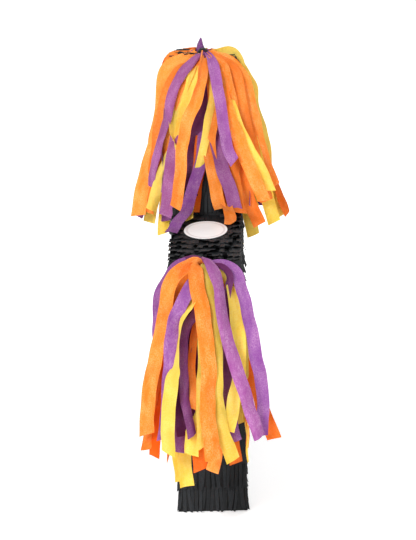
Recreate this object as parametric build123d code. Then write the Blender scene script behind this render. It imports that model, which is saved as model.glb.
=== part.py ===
from build123d import *
import math
import os

# A flat five-pointed star pinata that stands on its two legs. Every size is in millimetres.
# X runs across the star, +Z is up, and the front faces -Y. The origin lies on the
# ground, midway between the feet. An outline is a list of (x, z) corners.

# ---- Driving sizes ----

# Star outline, over the paper fringe
star_radius = 303.0  # centre of the star to each point, before the points are cut blunt
tip_width = 29.0  # blunt end of the top point and of the two arms
foot_width = 28.5  # level end of each leg

# Cardboard case
case_depth = 70.0  # over the front and back panels
board = 3.0  # thickness of the corrugated cardboard

# Paper tape that closes the case
tape = 0.4
tape_lap = 10.0  # how far a tape reaches on each side of a corner
paper_gap = 0.3  # air between two papers that lie on each other

# Fringe
fringe_tip = 2.3  # build-up of a row at its free, lower end
fringe_root = 1.0  # build-up of a row where it is glued
row_pitch = 26.0
row_wrap = 6.0  # how far the last row of one side folds round a corner

# Filling flap in the back panel
flap_width = 90.0
flap_height = 70.0
flap_top_above_centre = 20.0
slit = 1.0  # cut beside and below the flap
crease_gap = 0.3
flap_fringe_setback = 3.0  # bare strip of flap under its crease
flap_swing_room = 6.0  # bare strip of panel over the crease

# Hanger
stick_diameter = 6.0
loop_wire = 2.8
loop_rise = 7.5  # top of the loop over the top of the star
loop_swing = 12.0  # degrees each way
running_gap = 0.3
slot_side_gap = 0.6  # beside the wire in its slot

# Streamers
streamer_width = 15.0
streamer_paper = 0.6  # a folded crepe strip with its creases
root_gap = 0.3  # from a streamer's gathered end to its tie
top_tie_bore = 11.0  # radius
top_tie_radius = 14.0
top_tie_height = 7.6
top_layer_step = 0.9
top_streamer_length = 192.0  # drop of the longest one
top_stand_off = 6.0  # lowest layer over the sloping sides of the top point
top_flare = 46.0  # lowest layer out past the front and back faces, at its lower end
top_left_flare = 41.0  # the same on the left half
arm_tie_radius = 8.0
arm_tie_height = 19.0
arm_tie_drop = 3.0  # lower end of the tie under the middle of the blunt tip
arm_layer_step = 2.6
arm_streamer_length = 220.0
arm_shoulder = 30.0  # from the tie's axis
right_flare_across = 20.0  # out past the shoulder, away from the star
right_flare_deep = 28.0  # out past the shoulder, to the front and to the back
left_flare_across = 15.0
left_flare_deep = 9.0
cone_radius = 3.2  # a purple strip's end, rolled to a point, that stands up beside the loop
cone_height = 17.5

# Oval label on the ledge of the right arm
label_length = 66.0
label_width = 47.0
label_paper = 0.3
label_from_centre = 130.0

# ---- Sizes that follow ----

POINT_HALF_ANGLE = 18.0
half_case = case_depth / 2
side_cover = fringe_tip + paper_gap + tape  # board to the outside of the fringe
half_depth = half_case + side_cover
board_inside = side_cover + board
tan_point = math.tan(math.radians(POINT_HALF_ANGLE))
tip_reach = star_radius - tip_width / 2 / tan_point
foot_rise = foot_width / (1 / math.tan(math.radians(36)) - 1 / math.tan(math.radians(72)))
centre_height = star_radius * math.sin(math.radians(54)) - foot_rise
star_top = centre_height + tip_reach

os.makedirs("parts", exist_ok=True)


def write(name, *solids):
    """Write one named piece, as one solid or as a group of separate solids."""
    shape = solids[0] if len(solids) == 1 else Compound(children=list(solids))
    export_step(shape, f"parts/{name}.step")


def mirrored(shape):
    """The same piece on the other side of the star."""
    return mirror(shape, about=Plane.YZ)


# ---- Outline of the star ----


def polar(radius, degrees):
    """Point at a distance and a direction from the centre of the star."""
    angle = math.radians(degrees)
    return (radius * math.cos(angle), centre_height + radius * math.sin(angle))


def point_radius(inset):
    """Centre of the star to its uncut points, with every side moved in by inset."""
    return star_radius - inset / math.cos(math.radians(72))


def notch(inset, degrees):
    """Inner corner between two points of the star."""
    radius = point_radius(inset) * math.cos(math.radians(72)) / math.cos(math.radians(36))
    return polar(radius, degrees)


def blunt_tip(inset, degrees):
    """The two corners of a blunt tip, anticlockwise."""
    reach = tip_reach - inset
    half = math.degrees(math.atan2((point_radius(inset) - reach) * tan_point, reach))
    corner_radius = reach / math.cos(math.radians(half))
    return [polar(corner_radius, degrees - half), polar(corner_radius, degrees + half)]


def foot(inset, floor, side):
    """The outer and inner corners of a leg that ends at height floor; side is -1 or +1."""
    x, z = polar(point_radius(inset), 306)
    rise = floor - z
    outer = x - rise / math.tan(math.radians(72))
    inner = x - rise / math.tan(math.radians(36))
    return [(side * outer, floor), (side * inner, floor)]


def star_outline(inset, floor=None):
    """Closed outline, anticlockwise from the top point; floor is the height of the feet."""
    floor = inset if floor is None else floor
    left_foot = foot(inset, floor, -1)
    right_foot = foot(inset, floor, 1)[::-1]
    corners = blunt_tip(inset, 90) + [notch(inset, 126)] + blunt_tip(inset, 162) + [notch(inset, 198)]
    corners += left_foot + [notch(inset, 270)] + right_foot + [notch(inset, 342)]
    return corners + blunt_tip(inset, 18) + [notch(inset, 54)]


def slab(outline, y_low, y_high):
    """Prism over a closed outline between two depths."""
    wire = Wire.make_polygon([(x, y_low, z) for x, z in outline])
    return extrude(Face(wire), amount=y_high - y_low, dir=(0, 1, 0))


def box(x, y, z):
    """Block between two limits along each axis."""
    size = (x[1] - x[0], y[1] - y[0], z[1] - z[0])
    return Pos((x[0] + x[1]) / 2, (y[0] + y[1]) / 2, (z[0] + z[1]) / 2) * Box(*size)


# ---- Cardboard case: two panels, a folded band round each point, and a flap ----

flap_top = centre_height + flap_top_above_centre
flap_bottom = flap_top - flap_height
flap_half = flap_width / 2

front_panel = slab(star_outline(side_cover), -half_case, board - half_case)
back_panel = slab(star_outline(side_cover), half_case - board, half_case)
flap_hole = box(
    (-flap_half - slit, flap_half + slit),
    (half_case - 2 * board, half_case + board),
    (flap_bottom - slit, flap_top + crease_gap),
)
fill_flap = box((-flap_half, flap_half), (half_case - board, half_case), (flap_bottom, flap_top))
write("front_panel", front_panel)
write("back_panel", back_panel - flap_hole)
write("fill_flap", fill_flap)


def band(corners_at):
    """Cardboard folded round one point; corners_at gives that point's corners at an inset."""
    outline = corners_at(side_cover) + corners_at(board_inside)[::-1]
    return slab(outline, board - half_case, half_case - board)


def top_corners(inset):
    return [notch(inset, 54)] + blunt_tip(inset, 90) + [notch(inset, 126)]


def arm_corners(inset):
    return [notch(inset, 342)] + blunt_tip(inset, 18) + [notch(inset, 54)]


def leg_corners(inset):
    return [notch(inset, 270)] + foot(inset, inset, 1)[::-1] + [notch(inset, 342)]


# The loop swings about the stick, so its slot is longer than the loop is wide
stick_radius = stick_diameter / 2
loop_bend = stick_radius + running_gap + loop_wire / 2  # to the middle of the wire
stick_height = star_top - board_inside - running_gap - stick_radius
slot_reach = (loop_bend + loop_wire / 2) / math.cos(math.radians(loop_swing))
slot_reach += (star_top - stick_height) * math.tan(math.radians(loop_swing)) + running_gap
slot_half_width = loop_wire / 2 + slot_side_gap
loop_slot = box(
    (-slot_half_width, slot_half_width),
    (-slot_reach, slot_reach),
    (star_top - board_inside - board, star_top + board),
)

right_arm_band = band(arm_corners)
right_leg_band = band(leg_corners)
write("top_arm_band", band(top_corners) - loop_slot)
write("right_arm_band", right_arm_band)
write("left_arm_band", mirrored(right_arm_band))
write("right_leg_band", right_leg_band)
write("left_leg_band", mirrored(right_leg_band))


# ---- Paper tape ----


def toward(start, end, distance):
    """Point at a distance from start on the way to end."""
    length = math.dist(start, end)
    return tuple(a + (b - a) * distance / length for a, b in zip(start, end))


def corner_tape(degrees):
    """Tape folded over the inner corner where two bands meet, inside the case."""
    faces = []
    for inset in (board_inside, board_inside + tape):
        corner = notch(inset, degrees)
        before = polar(point_radius(inset), degrees - 36)
        after = polar(point_radius(inset), degrees + 36)
        faces.append([toward(corner, before, tape_lap), corner, toward(corner, after, tape_lap)])
    outer, inner = faces
    return slab(outer + inner[::-1], tape_lap / 2 - half_case, half_case - tape_lap / 2)


def edge_tape():
    """Tape folded over the rim between the back panel and the bands."""
    rim = half_case - board - tape_lap / 2
    whole = slab(star_outline(side_cover - tape), rim, half_case + tape)
    case = slab(star_outline(side_cover), rim - board, half_case)
    face = slab(star_outline(side_cover + tape_lap), half_case - board, half_case + board)
    return whole - case - face


back_edge_tape = edge_tape()
write("inner_corner_tapes", *[corner_tape(degrees) for degrees in (54, 126, 198, 270, 342)])
write("back_edge_tape", back_edge_tape)
write("front_edge_tape", mirror(back_edge_tape, about=Plane.XZ))


# ---- Fringe ----

face_fringe_inner = half_case + tape + paper_gap
row_count = math.ceil(star_top / row_pitch)


def shingled_face(outline):
    """Rows of fringe over the back panel: each row thickens to its free lower end."""
    profile = [(face_fringe_inner, 0)]
    for row in range(row_count):
        profile.append((face_fringe_inner + fringe_tip, row * row_pitch))
        profile.append((face_fringe_inner + fringe_root, (row + 1) * row_pitch))
    profile.append((face_fringe_inner, row_count * row_pitch))
    wire = Wire.make_polygon([(-star_radius, y, z) for y, z in profile])
    rows = extrude(Face(wire), amount=2 * star_radius, dir=(1, 0, 0))
    return rows & slab(outline, half_case, half_depth + board)


fringe_floor = fringe_tip + paper_gap
face_fringe = shingled_face(star_outline(side_cover - tape, fringe_floor))
flap_fringe_outline = [
    (-flap_half, flap_bottom),
    (flap_half, flap_bottom),
    (flap_half, flap_top - flap_fringe_setback),
    (-flap_half, flap_top - flap_fringe_setback),
]
flap_clearing = box(
    (-flap_half - slit, flap_half + slit),
    (half_case, half_depth + board),
    (flap_bottom - slit, flap_top + flap_swing_room),
)
write("front_fringe", mirror(face_fringe, about=Plane.XZ))
write("back_fringe", face_fringe - flap_clearing)
write("flap_fringe", shingled_face(flap_fringe_outline))


def rows_along(start, end, wrapped):
    """Stepped outer line of the rows on one side, from its glued start to its free end.

    start and end are corners at the fringe's full thickness. On a wrapped side the first
    row begins under the fringe that folds over the corner before it.
    """
    length = math.dist(start, end)
    along = ((end[0] - start[0]) / length, (end[1] - start[1]) / length)
    inward = (-along[1], along[0])
    if inward[0] * -start[0] + inward[1] * (centre_height - start[1]) < 0:
        inward = (along[1], -along[0])
    step = fringe_tip - fringe_root

    def point(distance, depth):
        return tuple(start[i] + along[i] * distance + inward[i] * depth for i in (0, 1))

    rows = max(1, round(length / row_pitch))
    line = [point(row_wrap, 0), point(row_wrap, step)] if wrapped else [point(0, step)]
    for row in range(1, rows):
        line += [point(length * row / rows, 0), point(length * row / rows, step)]
    return line + [end]


def edge_fringe(clockwise_line, anticlockwise_line):
    """Fringe over the full depth of the star, between a stepped and a plain line."""
    return slab(clockwise_line + anticlockwise_line, -half_depth, half_depth)


top_right_corner, top_left_corner = blunt_tip(0, 90)
top_right_line = rows_along(top_right_corner, notch(0, 54), True)
top_left_line = [(-x, z) for x, z in top_right_line[::-1]]
top_line = top_left_line + [top_left_corner, top_right_corner] + top_right_line
write("top_arm_fringe", edge_fringe(top_line, top_corners(fringe_tip)) - loop_slot)

tip_lower, tip_upper = blunt_tip(0, 18)
arm_line = rows_along(notch(0, 54), tip_upper, False)
arm_line += rows_along(tip_upper, tip_lower, True)
arm_line += rows_along(tip_lower, notch(0, 342), True)
right_arm_fringe = edge_fringe(arm_line, arm_corners(fringe_tip))
write("right_arm_fringe", right_arm_fringe)
write("left_arm_fringe", mirrored(right_arm_fringe))

foot_outer, foot_inner = foot(0, 0, 1)
leg_outside = rows_along(notch(0, 342), foot_outer, False)
leg_inside = rows_along(notch(0, 270), foot_inner, False)
glued_outer, glued_inner = foot(fringe_tip, 0, 1)
right_leg_fringe = [
    edge_fringe(leg_outside, [glued_outer, notch(fringe_tip, 342)]),
    edge_fringe(leg_inside, [glued_inner, notch(fringe_tip, 270)]),
]
write("right_leg_fringe", *right_leg_fringe)
write("left_leg_fringe", *[mirrored(side) for side in right_leg_fringe])

sole_inset = side_cover - tape
sole_outline = foot(sole_inset, 0, 1) + foot(sole_inset, fringe_tip, 1)[::-1]
right_sole = slab(sole_outline, -half_depth, half_depth)
write("foot_covers", right_sole, mirrored(right_sole))


# ---- Hanger: a covered wire loop round a stick that bears up under the top of the case ----

stick_top = stick_height + stick_radius
stick_top_width = 2 * (centre_height + point_radius(board_inside) - stick_top) * tan_point
stick_length = stick_top_width - 2 * running_gap
loop_top = star_top + loop_rise - loop_wire / 2  # middle of the wire
bend_top = loop_top - loop_bend
anchor_stick = Pos(0, 0, stick_height) * Rot(0, 90, 0) * Cylinder(stick_radius, stick_length)
left_leg = Line((0, -loop_bend, stick_height), (0, -loop_bend, bend_top))
upper_bend = ThreePointArc(left_leg @ 1, (0, 0, loop_top), (0, loop_bend, bend_top))
right_leg = Line(upper_bend @ 1, (0, loop_bend, stick_height))
lower_bend = ThreePointArc(right_leg @ 1, (0, 0, stick_height - loop_bend), left_leg @ 0)
loop_path = Wire([left_leg, upper_bend, right_leg, lower_bend])
loop_section = Plane(left_leg @ 0, z_dir=(0, 0, 1)) * Circle(loop_wire / 2)
write("anchor_stick", anchor_stick)
write("hanging_loop", sweep(loop_section, path=loop_path))


# ---- Streamers ----


def smooth(route):
    """Route of straight runs joined by arcs as large as the runs allow."""
    bends = [route[0]]
    radii = []
    for here, after in zip(route[1:], route[2:]):
        before = bends[-1]
        heading = math.atan2(here[1] - before[1], here[0] - before[0])
        turn = abs(math.atan2(after[1] - here[1], after[0] - here[0]) - heading)
        if turn > 0.01:
            run = min(math.dist(before, here), math.dist(here, after))
            radii.append(0.45 * run / math.tan(turn / 2))
            bends.append(here)
    bends.append(route[-1])
    return FilletPolyline(*[(out, 0, up) for out, up in bends], radius=radii)


def streamer(route, degrees, gather_half_angle):
    """Crepe strip that follows a route of (out, up) points, away from a tie at the origin.

    Its end at the tie is gathered between two upright planes that meet on the tie's axis.
    """
    edge = smooth(route)
    outline = offset(edge, amount=streamer_paper, side=Side.LEFT)
    strip = extrude(make_face(outline), amount=streamer_width / 2, dir=(0, 1, 0), both=True)
    reach = 2 * route[-1][0]
    half = reach * math.tan(math.radians(gather_half_angle))
    height = 2 * star_top
    gather = Wire.make_polygon([(0, 0, -height), (reach, -half, -height), (reach, half, -height)])
    return Rot(0, 0, degrees) * (strip & extrude(Face(gather), amount=2 * height, dir=(0, 0, 1)))


def cut_at_drop(route, drop):
    """The route down to a given depth under the tie."""
    kept = [point for point in route if point[1] > -drop + streamer_width / 2]
    (out_a, up_a), (out_b, up_b) = kept[-1], route[len(kept)]
    share = (up_a + drop) / (up_a - up_b)
    return kept + [(out_a + share * (out_b - out_a), -drop)]


def between(across, deep, degrees, corner):
    """How far a bundle reaches in one direction, from its reach along X and along Y.

    It follows an ellipse when corner is 2, and nears a box as corner nears 1.
    """
    angle = math.radians(degrees)
    part = abs(across * math.cos(angle)) ** corner + abs(deep * math.sin(angle)) ** corner
    return part ** (1 / corner)


def mop(strips, step, spread, tie_radius, crown, across, deep, corner):
    """Strips that leave a tie in many directions, bend down over a shoulder and flare out.

    Each one is (direction, layer, drop). crown holds the heights of the root, of the top of
    the bend and of the shoulder. across and deep hold points of the lowest layer along X and
    along Y, as (out, drop). spread is half the angle a strip's gathered end may take.
    """
    made = []
    for direction, layer, drop in strips:
        lift = layer * step
        outs = [between(a, d, direction, corner) + lift for (a, _), (d, _) in zip(across, deep)]
        ups = [crown[2] + lift] + [lift - depth for _, depth in across[1:]]
        root = tie_radius + root_gap
        route = [(root, crown[0] + lift), ((root + across[0][0]) / 2, crown[1] + lift)]
        route += list(zip(outs, ups))
        made.append(streamer(cut_at_drop(route, drop), direction, spread))
    return made


def write_by_colour(name, strips, colours, purple_extra=()):
    """One node for each colour of a bundle."""
    for letter, colour in (("O", "orange"), ("P", "purple"), ("Y", "yellow")):
        chosen = [strip for strip, mark in zip(strips, colours) if mark == letter]
        chosen += purple_extra if letter == "P" else []
        write(f"{name}_streamers_{colour}", *chosen)


# Top bundle, round the hanging loop. Layers rise from the X axis, where strips lie along the
# sloping sides of the top point, to the Y axis, where they hang free in front of and behind it.
# Those that hang over a ledge end above it.
TOP_COUNT = 24
top_colours = "OPYOOYPOYOPOYPOOYOPYOPOY"
top_shares = [0.84, 0.81, 0.80, 0.89, 0.82, 0.96, 0.88, 0.94, 0.90, 0.97, 0.83, 0.84,
              0.78, 0.83, 0.81, 0.92, 0.87, 0.98, 0.95, 0.99, 0.95, 0.86, 0.81, 0.78]
QUARTER_LAYERS = [0, 1, 2, 3, 4, 5, 7]
DROP_SHARES = [0, 0.07, 0.21, 0.45, 0.74, 1.02]
FLARE_SHARES = [0.05, 0.13, 0.22, 0.42, 0.72, 1.0]
ledge_height = notch(0, 54)[1]
ledge_drop = star_top - ledge_height - 2
top_depths = [share * top_streamer_length for share in DROP_SHARES]
top_across = [(tip_width / 2 + top_stand_off + depth * tan_point, depth) for depth in top_depths]
top_crown = (0.7, 2.2, 1)
top_strips = []
for number, share in enumerate(top_shares):
    direction = 360 * number / TOP_COUNT
    from_x_axis = abs((direction + 90) % 180 - 90)
    layer = QUARTER_LAYERS[round(from_x_axis * TOP_COUNT / 360)]
    drop = share * top_streamer_length
    if from_x_axis < 35:
        drop = min(drop, ledge_drop)
    flare = top_left_flare if 90 < direction < 270 else top_flare
    outs = [half_depth + part * flare for part in FLARE_SHARES]
    top_deep = list(zip(outs, top_depths))
    top_strips += mop([(direction, layer, drop)], top_layer_step, 14, top_tie_radius, top_crown,
                      top_across, top_deep, 1.5)
cone_x = loop_wire / 2 + root_gap + cone_radius
cone_y = math.sqrt((top_tie_bore - root_gap - cone_radius) ** 2 - cone_x ** 2)
cone = Pos(-cone_x, -cone_y, cone_height / 2) * Cone(cone_radius, 0.4, cone_height)
top_place = Pos(0, 0, star_top)
write_by_colour("top", [top_place * strip for strip in top_strips], top_colours, [top_place * cone])
top_tie = Cylinder(top_tie_radius, top_tie_height) - Cylinder(top_tie_bore, top_tie_height)
write("top_streamer_tie", Pos(0, 0, star_top + running_gap + top_tie_height / 2) * top_tie)

# Arm bundles, each on an upright tie against the blunt tip. They lie in four layers in turn.
ARM_LAYERS = 4
arm_pitch = 8.5  # degrees
arm_colours = "POOYPYOPOYOPOYPOYOP"
arm_shares = [0.60, 0.80, 0.75, 0.98, 0.73, 1.00, 0.93, 0.72, 0.82, 0.84, 0.92, 0.72, 0.91,
              0.84, 0.76, 0.91, 0.72, 0.75, 0.74]
ARM_DROP_SHARES = [0, 0.05, 0.16, 0.37, 0.68, 1.02]
ARM_FLARE_SHARES = [0, 0.25, 0.6, 0.85, 1.0, 1.0]
arm_crown = (7, 12, 10)
tip_x, tip_z = polar(tip_reach, 18)
lean = math.radians(POINT_HALF_ANGLE)
tie_out = arm_tie_radius + (running_gap + arm_tie_drop * math.sin(lean)) / math.cos(lean)
arm_place = Pos(tip_x + tie_out, 0, tip_z)
arm_list = []
for number, share in enumerate(arm_shares):
    direction = arm_pitch * (number - len(arm_shares) // 2)
    arm_list.append((direction, (number + 3) % ARM_LAYERS, share * arm_streamer_length))


def arm_bundle(flare_across, flare_deep):
    """The strips of an arm that points towards +X."""
    depths = [share * arm_streamer_length for share in ARM_DROP_SHARES]
    profiles = []
    for flare in (flare_across, flare_deep):
        outs = [arm_shoulder + share * flare for share in ARM_FLARE_SHARES]
        profiles.append(list(zip(outs, depths)))
    spread = arm_pitch * ARM_LAYERS / 2 - 2
    strips = mop(arm_list, arm_layer_step, spread, arm_tie_radius, arm_crown, *profiles, 2)
    return [arm_place * strip for strip in strips]


write_by_colour("right_arm", arm_bundle(right_flare_across, right_flare_deep), arm_colours)
left_strips = [mirrored(strip) for strip in arm_bundle(left_flare_across, left_flare_deep)]
write_by_colour("left_arm", left_strips, arm_colours)
arm_tie = Pos(0, 0, arm_tie_height / 2 - arm_tie_drop) * Cylinder(arm_tie_radius, arm_tie_height)
write("right_arm_streamer_tie", arm_place * arm_tie)
write("left_arm_streamer_tie", mirrored(arm_place * arm_tie))


# ---- Blank oval label on the ledge of the right arm ----

label_place = Pos(label_from_centre, 0, ledge_height + paper_gap)
write("label", label_place * extrude(Ellipse(label_length / 2, label_width / 2), amount=label_paper))
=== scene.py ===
import math
import random

import bpy
import numpy as np
from mathutils import Matrix, Vector


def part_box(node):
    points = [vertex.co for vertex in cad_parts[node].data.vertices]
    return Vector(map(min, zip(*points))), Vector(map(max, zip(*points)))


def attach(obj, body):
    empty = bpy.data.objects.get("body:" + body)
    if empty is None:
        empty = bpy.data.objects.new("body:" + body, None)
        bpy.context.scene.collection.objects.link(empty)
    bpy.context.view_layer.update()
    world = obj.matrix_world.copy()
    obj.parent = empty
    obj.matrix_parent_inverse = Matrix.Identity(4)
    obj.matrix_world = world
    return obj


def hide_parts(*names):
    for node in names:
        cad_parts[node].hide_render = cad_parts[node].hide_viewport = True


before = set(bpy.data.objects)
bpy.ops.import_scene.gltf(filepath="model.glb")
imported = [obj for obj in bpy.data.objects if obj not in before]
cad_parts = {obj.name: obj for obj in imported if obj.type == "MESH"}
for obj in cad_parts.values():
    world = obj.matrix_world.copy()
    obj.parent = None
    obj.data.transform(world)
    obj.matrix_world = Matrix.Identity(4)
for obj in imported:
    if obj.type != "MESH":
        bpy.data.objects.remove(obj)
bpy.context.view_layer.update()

# A star pinata. Its board, tape, stick, loop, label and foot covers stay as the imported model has
# them. The black fringe, the streamers and their ties are built here as cut strips of paper.

MM = 0.001

# ---- Sizes of the star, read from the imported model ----
# RADIUS goes to where a point's edges would meet, REACH to its blunt tip.

HALF_POINT = math.radians(18)
NOTCH_SHARE = math.cos(math.radians(72)) / math.cos(math.radians(36))
SINE = math.sin(HALF_POINT)
arm_low, arm_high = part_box("right_arm_fringe")
RADIUS = (arm_high.z - arm_low.z) / (SINE + NOTCH_SHARE * SINE)
CENTRE_Z = arm_high.z - RADIUS * SINE
TOP_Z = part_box("top_arm_fringe")[1].z
HALF_DEPTH = arm_high.y
LEDGE_Z = arm_high.z
REACH = TOP_Z - CENTRE_Z
HALF_TIP = (RADIUS - REACH) * math.tan(HALF_POINT)


def polar(radius, degrees):
    """A point (x, z) in the star's plane, from its centre."""
    angle = math.radians(degrees)
    return (radius * math.cos(angle), CENTRE_Z + radius * math.sin(angle))


def notch(degrees):
    """The inner corner in that direction."""
    return polar(RADIUS * NOTCH_SHARE, degrees)


def tip(degrees):
    """The two corners of a blunt tip, anticlockwise."""
    half = math.degrees(math.atan2(HALF_TIP, REACH))
    far = math.hypot(HALF_TIP, REACH)
    return polar(far, degrees - half), polar(far, degrees + half)


leg_x, leg_z = polar(RADIUS, 306)
FOOT_OUT = (leg_x + leg_z / math.tan(math.radians(72)), 0.0)
FOOT_IN = (leg_x + leg_z / math.tan(math.radians(36)), 0.0)

# ---- Camera and light ----

AIM = Vector((0.0, -0.0014, CENTRE_Z + 0.0079))
DISTANCE = 3.03
ELEVATION = math.radians(17.44)
AZIMUTH = math.radians(1.2)
ROLL = math.radians(-1.68)
LENS, SENSOR = 177.9, 36  # mm
FAR_CLIP = 60
LIGHTS = (  # name, place, height aimed at, size in metres, power in watts
    ("key", (2.6, -1.3, 2.2), 0.25, 0.9, 88),
    ("fill", (2.4, 2.0, 1.1), 0.25, 1.6, 16),
    ("rim", (-1.6, 0.4, 2.4), 0.3, 1.0, 26),
)
SKY_STRENGTH = 0.5


def shown(name, data):
    """An object of its own for a mesh, lamp or camera."""
    made = bpy.data.objects.new(name, data)
    bpy.context.scene.collection.objects.link(made)
    return made


towards = Vector((math.cos(ELEVATION) * math.cos(AZIMUTH),
                  math.cos(ELEVATION) * math.sin(AZIMUTH), math.sin(ELEVATION)))
right = Vector((0, 0, 1)).cross(towards).normalized()
up = towards.cross(right)
right, up = (math.cos(ROLL) * right + math.sin(ROLL) * up,
             math.cos(ROLL) * up - math.sin(ROLL) * right)
camera_data = bpy.data.cameras.new("camera")
camera_data.lens = LENS
camera_data.sensor_width = SENSOR
camera_data.clip_end = FAR_CLIP
camera = shown("camera", camera_data)
camera.matrix_world = Matrix.Translation(AIM + DISTANCE * towards) @ Matrix(
    (right, up, towards)).transposed().to_4x4()
bpy.context.scene.camera = camera
bpy.context.scene.view_settings.view_transform = "Standard"

for name, place, height, size, power in LIGHTS:
    data = bpy.data.lights.new(name, "AREA")
    data.size = size
    data.energy = power
    lamp = shown(name, data)
    lamp.location = place
    way = Vector((0, 0, height)) - Vector(place)
    lamp.rotation_euler = way.to_track_quat("-Z", "Y").to_euler()
world = bpy.data.worlds.new("studio")
world.use_nodes = True
sky = world.node_tree.nodes["Background"]
sky.inputs["Color"].default_value = (1, 1, 1, 1)
sky.inputs["Strength"].default_value = SKY_STRENGTH
bpy.context.scene.world = world

# ---- Materials ----


def linear(*channels):
    """Linear colour of an 8-bit sRGB one."""
    shares = [channel / 255 for channel in channels]
    return tuple(v / 12.92 if v <= 0.04045 else ((v + 0.055) / 1.055) ** 2.4
                 for v in shares) + (1.0,)


class Shader:
    """A material with a few short ways to add and join its nodes."""

    def __init__(self, name):
        self.material = bpy.data.materials.new(name)
        self.material.use_nodes = True
        self.tree = self.material.node_tree
        self.surface = self.tree.nodes["Principled BSDF"]
        self.output = self.tree.nodes["Material Output"]

    def feed(self, socket, value):
        """Joins another node's socket to this one, or sets this one's value."""
        if hasattr(value, "links"):
            self.tree.links.new(value, socket)
        else:
            socket.default_value = value

    def node(self, kind, values=None, **settings):
        made = self.tree.nodes.new(kind)
        for key, value in settings.items():
            setattr(made, key, value)
        for key, value in (values or {}).items():
            self.feed(made.inputs[key], value)
        return made

    def math(self, operation, a, b=0.0):
        return self.node("ShaderNodeMath", {0: a, 1: b}, operation=operation).outputs[0]

    def place(self, scale=(1, 1, 1), attribute=None):
        """Coordinates in metres, or a stored attribute, times a scale."""
        if attribute:
            source = self.node("ShaderNodeAttribute", attribute_name=attribute).outputs["Vector"]
        else:
            source = self.node("ShaderNodeTexCoord").outputs["Object"]
        return self.node("ShaderNodeMapping", {"Vector": source, "Scale": scale}).outputs[0]

    def number(self, attribute):
        return self.node("ShaderNodeAttribute", attribute_name=attribute).outputs["Fac"]

    def noise(self, vector, scale, detail, rough=0.5, distortion=0.0):
        return self.node("ShaderNodeTexNoise", {
            "Vector": vector, "Scale": scale, "Detail": detail, "Roughness": rough,
            "Distortion": distortion}).outputs[0]

    def wave(self, vector, scale, distortion, detail, direction="X"):
        return self.node("ShaderNodeTexWave", {
            "Vector": vector, "Scale": scale, "Distortion": distortion, "Detail": detail},
            bands_direction=direction).outputs["Fac"]

    def mix(self, factor, a, b, blend="MIX"):
        """One colour mixed with another. The node's colour sockets are its inputs 6 and 7."""
        return self.node("ShaderNodeMix", {0: factor, 6: a, 7: b}, data_type="RGBA",
                         blend_type=blend).outputs[2]

    def spread(self, value, low, high, to_low, to_high):
        """Low to high becomes to_low to to_high, and what lies beyond is cut off."""
        return self.node("ShaderNodeMapRange", {
            "Value": value, "From Min": low, "From Max": high, "To Min": to_low,
            "To Max": to_high}).outputs[0]

    def brighten(self, colour, factor):
        grey = self.node("ShaderNodeCombineColor", {0: factor, 1: factor, 2: factor}).outputs[0]
        return self.mix(1.0, colour, grey, "MULTIPLY")

    def finish(self, colour, rough, height=None, bump=0.3, distance=0.4 * MM, **constants):
        """Sets up the surface. The bump's strength is a share of its distance in metres."""
        self.feed(self.surface.inputs["Base Color"], colour)
        self.feed(self.surface.inputs["Roughness"], rough)
        for key, value in constants.items():
            self.surface.inputs[key.replace("_", " ")].default_value = value
        if height is not None:
            self.relief = self.node("ShaderNodeBump", {
                "Height": height, "Strength": bump, "Distance": distance}).outputs[0]
            self.feed(self.surface.inputs["Normal"], self.relief)
        return self.material

    def let_light_through(self, colour, share):
        """Adds the glow of thin paper to a surface that is finished."""
        thin = self.node("ShaderNodeBsdfTranslucent", {"Color": colour, "Normal": self.relief})
        both = self.node("ShaderNodeMixShader", {
            0: share, 1: self.surface.outputs[0], 2: thin.outputs[0]})
        self.feed(self.output.inputs["Surface"], both.outputs[0])


# Scales of noise are in cycles for each metre, or for each mm along and across a strip.


def crepe(name, plain, other, pale, mixed, through):
    """Streamer paper: fine cross wrinkles and frosty fibres.

    A strip's lightness value makes it lighter or darker, at random and as painted light and shade;
    hue turns it from plain to other; and its painted shading turns it to mixed, a darker colour
    painted for shade and for other strips showing through. Its wrinkles lighten and darken it as
    painted shade. through is the share of light that comes through.
    """
    s = Shader(name)
    fibres = s.noise(s.place((1, 0.6, 1), "strip"), 1.0, 3.0, 0.7)
    clouds = s.noise(s.place((0.13, 0.05, 1), "strip"), 1.0, 3.0, 0.6)
    wrinkles = s.noise(s.place((0.2, 1.3, 1), "strip"), 1.0, 2.0, 0.6, 0.4)
    frost = s.math("MULTIPLY", s.spread(fibres, 0.35, 0.7, 0.0, 0.75),
                   s.spread(clouds, 0.3, 0.7, 0.2, 1.4))
    colour = s.mix(s.number("hue"), plain, other)
    colour = s.mix(frost, colour, pale)
    # painted shade: mixes towards the darker colour, for strips in shade and for other strips
    # painted as showing through
    colour = s.mix(s.number("painted_shading"), colour, mixed)
    # random mottling, and the strip's lightness value: random, with painted light and painted shade
    light = s.math("ADD", s.spread(clouds, 0.25, 0.75, 0.90, 1.08),
                   s.math("MULTIPLY", s.number("tone_and_shading"), 0.2))
    # painted shade and light along the wrinkles
    shade = s.spread(wrinkles, 0.3, 0.7, 0.93, 1.06)
    colour = s.brighten(colour, s.math("MULTIPLY", light, shade))
    height = s.math("ADD", s.math("MULTIPLY", wrinkles, 0.7), s.math("MULTIPLY", fibres, 0.5))
    s.finish(colour, 0.85, height, 0.5, 0.7 * MM, Specular_IOR_Level=0.2, Sheen_Weight=0.04,
             Sheen_Roughness=0.4)
    s.let_light_through(s.mix(0.75, colour, other), through)
    return s.material


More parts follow.
